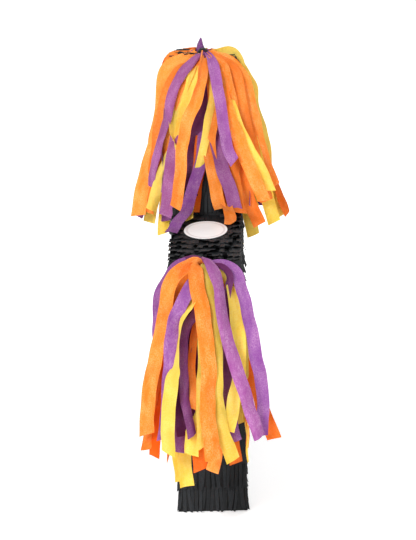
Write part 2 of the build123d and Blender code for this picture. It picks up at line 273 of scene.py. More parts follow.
def black_paper():
    """Black tissue of the fringe, with painted light and shade along its creases and a painted
    highlight along each strip's cut edges.
    """
    s = Shader("black_tissue")
    strip = s.place(attribute="strip")
    fibres = s.noise(strip, 0.9, 3.0, 0.6)
    wrinkles = s.noise(s.place((0.8, 0.16, 1), "strip"), 1.0, 3.0, 0.6, 0.6)
    colour = s.mix(s.spread(fibres, 0.3, 0.7, 0.0, 1.0), linear(20, 22, 25), linear(31, 34, 37))
    # painted highlight: paler towards a strip's cut edges
    edge = s.spread(s.math("ABSOLUTE", s.number("across")), 0.75, 1.0, 0.0, 0.4)
    colour = s.mix(edge, colour, linear(46, 46, 47))
    # painted light and shade along the creases, plus each strip's lightness: random, or painted
    # shade for the paper under the rows
    light = s.math("ADD", s.spread(wrinkles, 0.3, 0.7, 0.7, 1.3),
                   s.math("MULTIPLY", s.number("tone_and_shading"), 0.45))
    colour = s.brighten(colour, light)
    height = s.math("ADD", wrinkles, s.math("MULTIPLY", fibres, 0.4))
    return s.finish(colour, 0.7, height, 0.6, 0.7 * MM, Specular_IOR_Level=0.3)


def cardboard():
    """Corrugated board: kraft fibres and faint flutes under the liner, the flutes as painted shade
    and light.
    """
    s = Shader("kraft_board")
    here = s.place()
    fibres = s.noise(s.place((1, 1, 0.25)), 900, 3.0, 0.7)
    clouds = s.noise(here, 22, 2.0)
    flutes = s.wave(here, 47, 0.4, 1.0)
    colour = s.mix(fibres, linear(150, 112, 74), linear(192, 154, 110))
    colour = s.mix(s.spread(clouds, 0.3, 0.7, 0.0, 0.4), colour, linear(168, 126, 86))
    # painted shade and light along the flutes
    colour = s.brighten(colour, s.spread(flutes, 0, 1, 0.95, 1.04))
    height = s.math("ADD", s.math("MULTIPLY", flutes, 0.8), s.math("MULTIPLY", fibres, 0.25))
    return s.finish(colour, s.spread(clouds, 0.2, 0.8, 0.78, 0.9), height, 0.35)


def kraft_tape():
    """Gummed paper tape: thin, slightly glossy, with small creases, darker and paler along them as
    painted shade and light.
    """
    s = Shader("gummed_tape")
    fibres = s.noise(s.place((1, 1, 0.3)), 1200, 2.0, 0.6)
    creases = s.noise(s.place(), 160, 4.0, 0.6, 1.5)
    colour = s.mix(fibres, linear(176, 138, 94), linear(206, 172, 128))
    # painted shade and light along the creases
    colour = s.brighten(colour, s.spread(creases, 0.3, 0.7, 0.93, 1.05))
    height = s.math("ADD", s.math("MULTIPLY", creases, 0.8), s.math("MULTIPLY", fibres, 0.2))
    return s.finish(colour, s.spread(creases, 0.3, 0.7, 0.5, 0.68), height)


def stick_wood():
    """Bare round stick, with its grain along X."""
    s = Shader("birch_stick")
    here = s.place((0.06, 1, 1))
    grain = s.noise(here, 900, 4.0, 0.6, 0.8)
    rings = s.noise(here, 240, 2.0, 0.5)
    colour = s.mix(grain, linear(206, 174, 128), linear(228, 203, 162))
    colour = s.mix(s.spread(rings, 0.4, 0.7, 0.0, 0.5), colour, linear(184, 146, 100))
    return s.finish(colour, 0.6, grain, 0.25, 0.3 * MM)


def wrapped_wire():
    """Loop of wire wound with a narrow black paper ribbon, darker and paler across its turns as
    painted shade and light.
    """
    s = Shader("black_wrapped_wire")
    turns = s.wave(s.place((0, 0.35, 1)), 240, 0.8, 1.0, "Z")
    fibres = s.noise(s.place(), 1500, 2.0)
    # painted shade and light across the ribbon's turns
    colour = s.mix(turns, linear(20, 20, 21), linear(48, 48, 49))
    height = s.math("ADD", turns, s.math("MULTIPLY", fibres, 0.3))
    return s.finish(colour, 0.5, height, 0.6, 0.6 * MM, Sheen_Weight=0.1)


def label_paper(middle, half):
    """Blank white oval sticker with a plain pale border, by its middle and its half sizes."""
    s = Shader("sticker_paper")
    here = s.node("ShaderNodeVectorMath", {0: s.place(), 1: middle}, operation="SUBTRACT")
    round_about = s.node("ShaderNodeVectorMath", {
        0: here.outputs[0], 1: (1 / half.x, 1 / half.y, 0)}, operation="MULTIPLY")
    out = s.node("ShaderNodeVectorMath", {0: round_about.outputs[0]}, operation="LENGTH")
    away = s.math("ABSOLUTE", s.math("SUBTRACT", out.outputs["Value"], 0.86))
    border = s.spread(away, 0.035, 0.06, 0.55, 0.0)
    fibres = s.noise(s.place(), 1800, 3.0, 0.6)
    clouds = s.noise(s.place(), 60, 2.0)
    colour = s.mix(fibres, linear(244, 243, 242), linear(252, 252, 252))
    colour = s.mix(border, colour, linear(214, 206, 204))
    colour = s.brighten(colour, s.spread(clouds, 0.3, 0.7, 0.97, 1.02))
    height = s.math("ADD", s.math("MULTIPLY", clouds, 0.7), s.math("MULTIPLY", fibres, 0.2))
    return s.finish(colour, 0.42, height, 0.25, 0.6 * MM, Coat_Weight=0.08, Coat_Roughness=0.3)


def tie_paper():
    """Band of twisted purple crepe round the streamers' gathered ends, darker and paler along its
    folds as painted shade and light.
    """
    s = Shader("tie_crepe")
    folds = s.noise(s.place((1, 1, 0.2)), 700, 3.0, 0.6, 0.6)
    # painted shade and light along the folds
    colour = s.mix(folds, linear(78, 30, 84), linear(150, 84, 158))
    return s.finish(colour, 0.8, folds, 0.6, 1 * MM, Sheen_Weight=0.12)


def sole_paper():
    """Black paper folded under the feet, darker and paler along its creases as painted shade and
    light.
    """
    s = Shader("black_sole")
    creases = s.noise(s.place(), 300, 3.0, 0.6, 1.0)
    # painted shade and light along the creases
    colour = s.mix(creases, linear(26, 26, 27), linear(48, 48, 49))
    return s.finish(colour, 0.7, creases, 0.4, 0.6 * MM)


def floor_paint():
    """Pale floor, lit a little from itself, so that it stays plain."""
    s = Shader("floor_paint")
    clouds = s.noise(s.place(), 3.0, 3.0)
    colour = s.mix(clouds, (0.93, 0.93, 0.93, 1), (0.96, 0.96, 0.96, 1))
    return s.finish(colour, 0.7, Emission_Color=(1, 1, 1, 1), Emission_Strength=0.42)


# The fourth colour of each paper is painted shade: the darker look of strips in shade and of other
# strips showing through.
CREPE = {
    "orange": crepe("crepe_orange", linear(255, 152, 52), linear(255, 132, 20),
                    linear(255, 196, 120), linear(232, 92, 4), 0.30),
    "purple": crepe("crepe_purple", linear(172, 86, 150), linear(146, 78, 168),
                    linear(204, 156, 196), linear(88, 22, 66), 0.26),
    "yellow": crepe("crepe_yellow", linear(255, 222, 72), linear(255, 226, 92),
                    linear(255, 242, 160), linear(230, 208, 108), 0.42),
}
BLACK = black_paper()

# ---- Thin paper, as closed sheets in one mesh ----

SHARP_FOLD = math.radians(55)
NEXT_STRIP = 7.3  # how far apart, in mm, the patterns of two strips lie


def surface(name, points, faces, material):
    """A smooth object from arrays of its points and of its faces' corners."""
    mesh = bpy.data.meshes.new(name)
    mesh.from_pydata(points.tolist(), [], faces.tolist())
    mesh.polygons.foreach_set("use_smooth", [True] * len(mesh.polygons))
    mesh.materials.append(material)
    return shown(name, mesh)


class Paper:
    """Collects strips of paper and makes one object of them."""

    def __init__(self):
        self.points, self.faces, self.places = [], [], []
        self.values = {"across": [], "tone_and_shading": [], "painted_shading": [], "hue": []}
        self.count = 0
        self.area = 0.0

    def add(self, middle, normal, thickness, along, tone_and_shading=0.0, painted_shading=0.0, hue=0.5):
        """A strip from a grid of points with their normals, and a place along it for each row."""
        rows, columns = middle.shape[:2]
        lift = normal * (thickness / 2)
        grid = np.concatenate([middle + lift, middle - lift]).reshape(-1, 3)
        start, layer = self.count, rows * columns
        k = np.arange(layer).reshape(rows, columns)
        corners = k[:-1, :-1], k[:-1, 1:], k[1:, 1:], k[1:, :-1]
        quad = np.stack([corner.ravel() for corner in corners], 1)
        ring = np.concatenate([k[0], k[1:, -1], k[-1, -2::-1], k[-2:0:-1, 0]])
        after = np.roll(ring, -1)
        rim = np.stack([after, ring, ring + layer, after + layer], 1)
        self.faces.append(np.concatenate([quad, quad[:, ::-1] + layer, rim]) + start)
        self.points.append(grid)
        u = np.tile(np.linspace(-1, 1, columns), rows)
        v = np.repeat(np.asarray(along), columns)
        width = np.linalg.norm(middle[:, -1] - middle[:, 0], axis=1).mean()
        apart = np.full_like(u, len(self.places) * NEXT_STRIP)
        self.places.append(np.tile(np.stack([u * width / 2 / MM, v / MM, apart], 1), (2, 1)))
        self.values["across"].append(np.tile(u, 2))
        for key, value in (("tone_and_shading", tone_and_shading), ("painted_shading", painted_shading), ("hue", hue)):
            value = np.repeat(np.broadcast_to(value, rows), columns)
            self.values[key].append(np.tile(value, 2))
        self.count += 2 * layer

    def build(self, name, material, body, slot):
        """The object, which rides on a body, with what its material reads at each point."""
        piece = surface(name, np.concatenate(self.points), np.concatenate(self.faces), material)
        mesh = piece.data
        places = mesh.attributes.new("strip", "FLOAT_VECTOR", "POINT")
        places.data.foreach_set("vector", np.concatenate(self.places).ravel())
        for key, values in self.values.items():
            stored = mesh.attributes.new(key, "FLOAT", "POINT")
            stored.data.foreach_set("value", np.concatenate(values))
        mesh.set_sharp_from_angle(angle=SHARP_FOLD)
        mesh.update()
        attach(piece, body)
        return piece


def unit(v):
    """Vectors of length 1."""
    return v / np.maximum(np.linalg.norm(v, axis=-1, keepdims=True), 1e-12)


# ---- Black fringe ----

FRINGE_PITCH = 26 * MM  # from row to row
LEDGE_PITCH = 18 * MM
FLAP_PITCH = 23 * MM
FRINGE_STRIP = 4.6 * MM
FRINGE_PAPER = 0.35 * MM
GLUED_SIDE = 0.8 * MM  # thickness of the paper that a side's rows are glued to
GLUED_FACE = 0.6 * MM
ABOVE_FLOOR = 0.4 * MM
GAP_SHADE = -0.8  # painted shade: the paper under the rows is darker than the strips, so the gaps between them read as shadow
LABEL_MARGIN = 2 * MM  # how far beside the label the fringe lies flat
LABEL_EASE = 1.6  # the fringe is free at this many times the label's size
label_low, label_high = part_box("label")
LABEL_MIDDLE = (label_low + label_high) / 2
LABEL_HALF = (label_high - label_low) / 2
rng = random.Random(41)


def pressed(grid):
    """Keeps what lies under the label below it."""
    out = np.hypot((grid[..., 0] - LABEL_MIDDLE.x) / (LABEL_HALF.x + LABEL_MARGIN),
                   (grid[..., 1] - LABEL_MIDDLE.y) / (LABEL_HALF.y + LABEL_MARGIN))
    room = label_low.z - 0.5 * MM + np.clip(out - 1, 0, 1) * 12 * MM
    over = (out < LABEL_EASE) & (grid[..., 2] > room) & (grid[..., 2] < label_high.z + 20 * MM)
    grid[..., 2] = np.where(over, room, grid[..., 2])
    return grid


def fringe_strip(paper, root, down, side, out, width, length, lift, skew, curl, twist):
    """One cut strip. It leaves its root flat and lifts off towards its free end.

    down, side and out are directions along it, across it and away from the star. skew is how
    far it leans for its length, and twist turns its end, in radians.
    """
    root, down, side, out = (np.array(v, float) for v in (root, down, side, out))
    t = np.linspace(0, 1, 7)
    wave = rng.uniform(-0.5, 0.5) * MM * np.sin(t * rng.uniform(3, 7) + rng.uniform(0, 6)) * t
    height = lift * t ** 1.6 + wave + curl * np.maximum(t - 0.55, 0) ** 2
    along = length * (t - 0.10 * np.abs(lift) / length * t ** 2)
    centre = (root + np.outer(along, down) + np.outer(height, out)
              + np.outer(skew * length * t ** 1.4, side))
    angle = twist * t ** 1.5 + rng.gauss(0, 0.13)
    wide = np.outer(np.cos(angle), side) + np.outer(np.sin(angle), out)
    tangent = unit(np.gradient(centre, axis=0))
    wide = unit(wide - (wide * tangent).sum(1, keepdims=True) * tangent)
    normal = np.cross(wide, tangent)
    if (normal[0] @ out) < 0:
        normal = -normal
    half = width / 2 * np.array([-1.0, 0.0, 1.0])
    dish = rng.uniform(-0.35, 0.5) * MM * np.array([0.0, 1.0, 0.0])
    grid = (centre[:, None] + wide[:, None] * half[None, :, None]
            + normal[:, None] * dish[None, :, None] * t[:, None, None])
    grid[-1] += np.outer(half / width * rng.uniform(-2.5, 2.5) * MM, down)
    grid = pressed(grid)
    grid[..., 2] = np.maximum(grid[..., 2], ABOVE_FLOOR)
    paper.add(grid, np.repeat(normal[:, None], 3, 1), FRINGE_PAPER, length * t,
              rng.uniform(-0.9, 0.9))


def fringe_row(paper, start, end, down, out, length, mess, lift, matted=0.0):
    """A row of strips whose glued ends lie on the line from start to end.

    mess is how wild they lie, lift how far in mm their ends stand off, and matted from 0 to 1
    how far they stick together.
    """
    start, end, out = (np.array(v, float) for v in (start, end, out))
    side = unit(end - start)
    room = np.linalg.norm(end - start)
    count = max(1, round(room / FRINGE_STRIP))
    cuts = [room * k / count for k in range(count + 1)]
    for k in range(1, count):
        cuts[k] += rng.uniform(-0.6, 0.6) * MM
    for near, far in zip(cuts, cuts[1:]):
        wild = rng.random() < 0.5 * mess
        reach = length * (1 - rng.uniform(0.0, 0.14 + 0.2 * mess) * (1 - 0.75 * matted))
        swell = 1 + matted * 0.5 * math.sin(near * 160 + start[0] * 700)
        rise = lift * MM * rng.uniform(0.6, 1.5) * swell + (rng.uniform(1, 9) * MM if wild else 0)
        cover = rng.uniform(0.68, 0.9) + matted * 0.35
        fringe_strip(
            paper, start + side * (near + far) / 2 + out * 0.4 * MM, down, side, out,
            (far - near) * cover, reach, rise,
            rng.gauss(0, 0.05 + 0.16 * mess) * (1 - 0.5 * matted),
            rng.uniform(-6, 16) * MM * mess * (1 - 0.5 * matted),
            rng.gauss(0, 0.12 + 0.75 * mess) * (1 - 0.85 * matted))


def backing(paper, a, b, out):
    """The glued strip of paper under a side's rows, between two corners (x, z).

    It goes on for 5 mm round an inner corner, under its neighbour.
    """
    deep = HALF_DEPTH - 1.2 * MM
    a, b = (np.array(end, float) for end in (a, b))
    reach = unit(b - a) * 5 * MM
    if math.dist(a, (0, CENTRE_Z)) < REACH / 2:
        a = a - reach
    if math.dist(b, (0, CENTRE_Z)) < REACH / 2:
        b = b + reach
    t = np.linspace(0, 1, 8)[:, None]
    line = np.array([a[0], 0, a[1]]) * (1 - t) + np.array([b[0], 0, b[1]]) * t
    line = line - np.array(out) * 2.0 * MM
    y = np.linspace(-deep, deep, 6)
    grid = line[:, None] + np.array([0, 1, 0])[None, None] * y[None, :, None]
    grid[..., 2] = np.maximum(grid[..., 2], ABOVE_FLOOR)
    # painted shade: this paper gets the darker value, so the gaps between strips look shadowed
    paper.add(grid, np.broadcast_to(np.array(out, float), grid.shape), GLUED_SIDE,
              t[:, 0] * math.dist(a, b), GAP_SHADE)


def side_fringe(paper, a, b, mess_a, mess_b, overhang=5 * MM, rows=None, lift=2.0, matted=0.0,
                pitch_wanted=FRINGE_PITCH):
    """Rows over the depth of the star, from corner a down or out to corner b.

    mess_a and mess_b are how wild the strips lie at a and at b, and overhang is how far a row
    covers the next one.
    """
    a, b = np.array(a), np.array(b)
    length = np.linalg.norm(b - a)
    run = (b - a) / length
    away = np.array([run[1], -run[0]])
    if away @ ((a + b) / 2 - np.array([0, CENTRE_Z])) < 0:
        away = -away
    out = (away[0], 0, away[1])
    down = (run[0], 0, run[1])
    backing(paper, a, b, out)
    count = rows or max(1, round(length / pitch_wanted))
    pitch = length / count
    for k in range(count):
        spot = a + run * pitch * k - away * 1.6 * MM
        share = k / max(count - 1, 1)
        mess = mess_a * (1 - share) + mess_b * share
        reach = pitch + overhang if k < count - 1 else pitch + 1 * MM
        fringe_row(paper, (spot[0], -HALF_DEPTH, spot[1]), (spot[0], HALF_DEPTH, spot[1]),
                   down, out, reach, mess, lift, matted)


OUTLINE = [tip(90)[0], tip(90)[1], notch(126), tip(162)[0], tip(162)[1], notch(198),
           (-FOOT_OUT[0], 0.0), (-FOOT_IN[0], 0.0), notch(270), FOOT_IN, FOOT_OUT, notch(342),
           tip(18)[0], tip(18)[1], notch(54)]


def spans(x):
    """Where the star's outline lies on a plumb line at x, as (low, high) from the top."""
    cuts = []
    for (xa, za), (xb, zb) in zip(OUTLINE, OUTLINE[1:] + OUTLINE[:1]):
        if (xa <= x) != (xb <= x):
            cuts.append(za + (zb - za) * (x - xa) / (xb - xa))
    cuts.sort(reverse=True)
    return list(zip(cuts[1::2], cuts[::2]))


flap_low, flap_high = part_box("flap_fringe")
board_low, board_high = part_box("fill_flap")
FLAP_ROOM = 7 * MM  # over the flap, where its edge swings up
ROOT_DEPTH = 1.7 * MM  # of a face's rows, under the outside of the fringe
WILD_ABOVE = 120 * MM  # lower down, all strips of a face lie flat
HALF_ARMS = REACH * math.cos(HALF_POINT)


def face_fringe(paper, side, flap=False):
    """Level rows of strips that hang down a face of the star; side is -1 in front, +1 behind."""
    y = side * (HALF_DEPTH - ROOT_DEPTH)
    if flap:
        first, last = flap_low.x, flap_high.x
        levels = [flap_high.z - 0.5 * MM - k * FLAP_PITCH for k in range(3)]
    else:
        last = HALF_ARMS + 6 * MM
        first = -last
        levels = [TOP_Z - k * FRINGE_PITCH for k in range(math.ceil(TOP_Z / FRINGE_PITCH))]
    count = round((last - first) / FRINGE_STRIP)
    step = (last - first) / count
    for k in range(count):
        x = first + (k + 0.5) * step
        pieces = [(flap_low.z, flap_high.z)] if flap else spans(x)
        if side > 0 and not flap and board_low.x - 2 * MM < x < board_high.x + 2 * MM:
            cut = []
            for low, high in pieces:
                if high > board_high.z > low:
                    cut += [(board_high.z + FLAP_ROOM, high), (low, board_low.z - 3 * MM)]
                else:
                    cut.append((low, high))
            pieces = [(low, high) for low, high in cut if high - low > 6 * MM]
        for low, high in pieces:
            roots = [high - 0.5 * MM] + [z for z in levels if low + 5 * MM < z < high - 4 * MM]
            for top in roots:
                limit = min(FRINGE_PITCH + 5 * MM, top - low + (0 if low < 5 * MM else 1 * MM))
                if limit < 3.5 * MM:
                    continue
                far = abs(x) / last if not flap else 0
                mess = 0.12 + (0.6 if far > 0.8 else 0)
                wild = top > WILD_ABOVE and rng.random() < 0.5 * mess
                rise = rng.uniform(1.2, 2.6) * MM + (rng.uniform(1, 5) * MM if wild else 0)
                fringe_strip(paper, (x, y, top), (0, 0, -1), (1, 0, 0), (0, side, 0),
                             step * rng.uniform(0.76, 0.95), limit * rng.uniform(0.86, 1.0), rise,
                             rng.gauss(0, 0.03 + 0.06 * mess), rng.uniform(-3, 8) * MM * mess,
                             rng.gauss(0, 0.1 + 0.4 * mess))


def face_backing(paper, side):
    """The paper under a face's rows: upright bands that follow the outline."""
    even = list(np.linspace(-HALF_ARMS, HALF_ARMS, 56))
    cuts = sorted(even + [x for x, _ in OUTLINE if abs(x) < HALF_ARMS])
    y = side * (HALF_DEPTH - 1.9 * MM)
    normal = np.array([0.0, side, 0.0])
    for xa, xb in zip(cuts, cuts[1:]):
        if xb - xa < 0.1 * MM:
            continue
        ends = zip(spans(xa + 1e-6), spans(xb - 1e-6), spans((xa + xb) / 2))
        for (low_a, high_a), (low_b, high_b), (low, high) in ends:
            parts = [((low_a, high_a), (low_b, high_b))]
            if side > 0 and board_low.x < xb and xa < board_high.x and high > board_high.z > low:
                over, under = board_high.z + FLAP_ROOM, board_low.z - 1.5 * MM
                parts = [((over, high_a), (over, high_b)), ((low_a, under), (low_b, under))]
            for (foot_a, head_a), (foot_b, head_b) in parts:
                grid = np.array([[(xa, y, head_a), (xb, y, head_b)],
                                 [(xa, y, foot_a), (xb, y, foot_b)]], float)
                grid[:, :, 2] = np.maximum(grid[:, :, 2], 1 * MM)
                # painted shade: this paper gets the darker value, so the gaps between strips look
                # shadowed
                paper.add(grid, np.broadcast_to(normal, grid.shape), GLUED_FACE,
                          [0, head_a - foot_a], GAP_SHADE)


def black_piece(name, paper, nodes, body="root"):
    piece = paper.build(name, BLACK, body, "black_fringe")
    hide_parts(*nodes)


top_right, top_left = tip(90)
paper = Paper()
side_fringe(paper, top_right, notch(54), 0.08, 0.05)
side_fringe(paper, top_left, notch(126), 0.16, 0.06)
backing(paper, top_right, top_left, (0, 0, 1))
for x in (-9, -3, 4, 10):
    # Rows from the middle of the blunt top to the front and to the back
    for start, toward in ((-4, -1), (5, 1)):
        fringe_row(paper, ((x - 4) * MM, start * MM, TOP_Z), ((x + 4) * MM, start * MM, TOP_Z),
                   (0, toward, 0), (0, 0, 1), 33 * MM, 0.0, 0.6)
for _ in range(30):
    # Short crumpled ends that lie over the streamers on the front half of the blunt top
    spot = np.array([rng.uniform(-9, 12), -rng.uniform(4, 29), rng.uniform(3, 4)]) * MM
    spot[2] += TOP_Z + abs(spot[1]) * 0.02
    way = unit(np.array([rng.uniform(-0.2, 0.5), -1.0, -rng.uniform(0.0, 0.12)]))
    fringe_strip(paper, spot, way, (1, 0, 0), (0, 0, 1),
                 rng.uniform(2.5, 4.5) * MM, rng.uniform(5, 9) * MM, rng.uniform(0, 1.2) * MM,
                 rng.gauss(0, 0.25), rng.uniform(-8, 2) * MM, rng.gauss(0, 0.6))
black_piece("top_point_fringe", paper, ["top_arm_fringe"])

tip_lower, tip_upper = tip(18)
for sign, name in ((1, "right"), (-1, "left")):
    paper = Paper()

    def at(p):
        return (sign * p[0], p[1])

    side_fringe(paper, at(notch(54)), at(tip_upper), 0.15, 0.4, 8 * MM, lift=2.4, matted=1.0,
                pitch_wanted=LEDGE_PITCH)
    side_fringe(paper, at(tip_upper), at(tip_lower), 0.3, 0.3, rows=1, overhang=6 * MM, lift=3)
    side_fringe(paper, at(tip_lower), at(notch(342)), 0.2, 0.1)
    for _ in range(14):
        # Long strips that fold over the tip's upper corner, mostly near the two faces
        face = rng.choice((-1, 1))
        y = face * rng.uniform(22, 36)
        fringe_strip(paper, (sign * (tip_upper[0] + 1.5 * MM), y * MM, tip_upper[1]),
                     (sign * 0.12, 0.05 * face, -1.0), (0, 1, 0), (sign, 0, 0.2),
                     rng.uniform(4.5, 6) * MM, rng.uniform(24, 40) * MM, rng.uniform(1, 7) * MM,
                     rng.gauss(0, 0.05) + 0.06 * face, rng.uniform(-6, 10) * MM,
                     rng.gauss(0, 0.5))
    black_piece(name + "_point_fringe", paper, [name + "_arm_fringe"])

    paper = Paper()
    for inner, foot in ((notch(342), FOOT_OUT), (notch(270), FOOT_IN)):
        side_fringe(paper, at(inner), at(foot), 0.1, 0.1, lift=1.8)
    black_piece(name + "_foot_fringe", paper, [name + "_leg_fringe"])

for side, name, node in ((-1, "front_rows", "front_fringe"), (1, "back_rows", "back_fringe")):
    paper = Paper()
    face_backing(paper, side)
    face_fringe(paper, side)
    black_piece(name, paper, [node])
paper = Paper()
sheet = np.array([[(x, flap_high.y - ROOT_DEPTH, z) for x in (flap_low.x, flap_high.x)]
                  for z in (flap_high.z, flap_low.z)])
# painted shade: this paper gets the darker value, so the gaps between strips look shadowed
paper.add(sheet, np.broadcast_to(np.array([0.0, 1, 0]), sheet.shape), GLUED_FACE,
          [0, flap_high.z - flap_low.z], GAP_SHADE)
face_fringe(paper, 1, flap=True)
black_piece("flap_rows", paper, ["flap_fringe"], "flap")

# ---- Streamers ----
# A strip is (colour, painted shading, turn, width, points), in mm. A point is (side, drop, out):
# how far it lies towards +Y, below the root, and away from the star. The painted shading is how
# far the strip is painted in a darker colour, as painted shade and as other colours showing
# through, or with a minus how much paler it is painted, as painted light, at its two ends where
# there are two. turn is where its face looks, in degrees from straight out, at its root and at
# its end, or as pairs of the share of its length and the degrees there.

CREPE_PAPER = 0.35 * MM
POINT_STEP = 3.0  # mm along a strip
COLUMNS = 9  # points across a strip
FLANK_WIDTH = 14  # mm
GATHERED = 30.0  # mm from the root, over which a strip spreads to its full width
TAIL = 0.15  # share of a strip over which its slanting end is cut

